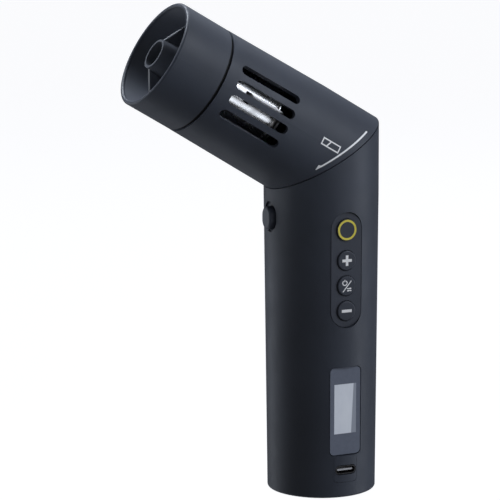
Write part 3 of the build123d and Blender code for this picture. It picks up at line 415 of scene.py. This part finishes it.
# Power symbol, a slash, and two arrows that swap places.
THIN = 0.2  # half width
POWER, SWAP = (-0.9, 1.25), (1.0, -1.5)
POWER_RADIUS, POWER_GAP = 0.95, (125, 415)
SWAP_APART, SWAP_TAIL, SWAP_TIP = 0.42, 1.0, 1.05
POINT_LENGTH, POINT_HALF, POINT_END = 0.75, 0.42, 0.04
mode_strokes = [
    arc(POWER, POWER_RADIUS, *POWER_GAP, THIN),
    line((POWER[0], POWER[1] + 0.35), (POWER[0], POWER[1] + 1.25), THIN),
    line((-1.75, -2.35), (1.95, 2.0), THIN),
]
for side in (-1, 1):
    bar_y = SWAP[1] + side * SWAP_APART
    tip = SWAP[0] + side * SWAP_TIP
    neck = tip - side * POINT_LENGTH
    mode_strokes.append(line((SWAP[0] - side * SWAP_TAIL, bar_y), (neck, bar_y), THIN))
    mode_strokes.append([(neck, bar_y, POINT_HALF), (tip, bar_y, POINT_END)])
mark("mode_mark", mode_strokes, on_key("mode_button"), "mode_key")

# ---------------------------------------------------------------- stage and light
FLOOR_SIZE, FLOOR_GLOW = 12.0, 0.96
WORLD_STRENGTH = 0.13
floor_mesh = bpy.data.meshes.new("floor")
floor_corners = [(x * FLOOR_SIZE, y * FLOOR_SIZE, 0) for x, y in ((-1, -1), (1, -1), (1, 1), (-1, 1))]
floor_mesh.from_pydata(floor_corners, [], [(0, 1, 2, 3)])
floor = bpy.data.objects.new("floor", floor_mesh)
scene.collection.objects.link(floor)
floor_material, floor_shader = new_material("floor_paper", (0.12, 0.12, 0.125), 0.9)
floor_shader.inputs["Emission Color"].default_value = (0.975, 0.98, 1.0, 1)
floor_shader.inputs["Emission Strength"].default_value = FLOOR_GLOW
floor_mesh.materials.append(floor_material)
floor.visible_diffuse = False
floor.visible_glossy = False
floor.visible_shadow = False

world = bpy.data.worlds.new("studio")
world.use_nodes = True
world.node_tree.nodes["Background"].inputs["Color"].default_value = (1, 1, 1, 1)
world.node_tree.nodes["Background"].inputs["Strength"].default_value = WORLD_STRENGTH
scene.world = world

COOL_WHITE = (0.93, 0.985, 1.07)


def softbox(name, place, target, width, height, power, spread=180):
    """A rectangular lamp at a place, facing a target, with its beam's full angle."""
    data = bpy.data.lights.new(name, "AREA")
    data.shape = "RECTANGLE"
    data.size, data.size_y = width, height
    data.energy = power
    data.color = COOL_WHITE
    data.spread = math.radians(spread)
    lamp = bpy.data.objects.new(name, data)
    lamp.location = place
    lamp.rotation_euler = (Vector(target) - Vector(place)).to_track_quat("-Z", "Y").to_euler()
    lamp.visible_camera = False
    scene.collection.objects.link(lamp)


middle = Vector((-0.02, 0, 0.1))
STAND_REACH, STAND_WIDTH = 1.2, 0.5


def stand(name, across, towards, high, height, power):
    """A large lamp round the object, by directions seen from the camera."""
    direction = view_right * across + view_back * towards + Vector((0, 0, 1)) * high
    place = middle + direction.normalized() * STAND_REACH
    softbox(name, place, middle, STAND_WIDTH, height, power)


stand("key_right", 0.906, 0.42, 0.6, 0.5, 4.4)
stand("key_low", 1.0, 0.07, -0.1, 0.8, 3.6)
stand("fill_right", 0.64, 0.77, 0.2, 0.8, 0.7)
stand("top_right", 0.6, -0.2, 1.0, 0.8, 1.2)
stand("rim_top", 0.25, -0.7, 1.0, 0.8, 2.4)
stand("rim_under", 0.1, -0.9, -0.8, 0.8, 2.2)
stand("rim_left", -0.82, -0.57, 0.0, 0.8, 1.2)
stand("rim_left_low", -0.85, -0.42, -0.3, 0.8, 0.9)
stand("under_left", -0.7, -0.3, -0.9, 0.8, 1.3)

# Small cards close to the nozzle's mouth and to the air slots.
mouth = elbow + head_axis * (82 * MM)
far_side = -panel_side
mouth_high = mouth + head_axis * 0.15 + head_top * 0.18 + far_side * 0.14
mouth_low = mouth + head_axis * 0.2 - head_top * 0.15 + far_side * 0.1
mouth_side = mouth + head_axis * 0.2 + panel_side * 0.16
softbox("mouth_high", mouth_high, mouth, 0.12, 0.12, 0.17, 70)
softbox("mouth_low", mouth_low, mouth, 0.12, 0.12, 0.012, 40)
softbox("mouth_side", mouth_side, mouth, 0.1, 0.1, 0.001, 50)

SLOT_REACH, SLOT_SPREAD = 0.4, 26
slots_middle = elbow + head_axis * (42 * MM) + panel_side * (22 * MM)
slot_card = slots_middle + Vector((0.30, -0.88, -0.34)).normalized() * SLOT_REACH
lead_card = slots_middle + Vector((0.449, -0.895, -0.102)).normalized() * SLOT_REACH
softbox("slot_card", slot_card, slots_middle, 0.1, 0.09, 0.0013, SLOT_SPREAD)
softbox("lead_card", lead_card, slots_middle, 0.06, 0.05, 0.0011, SLOT_SPREAD)
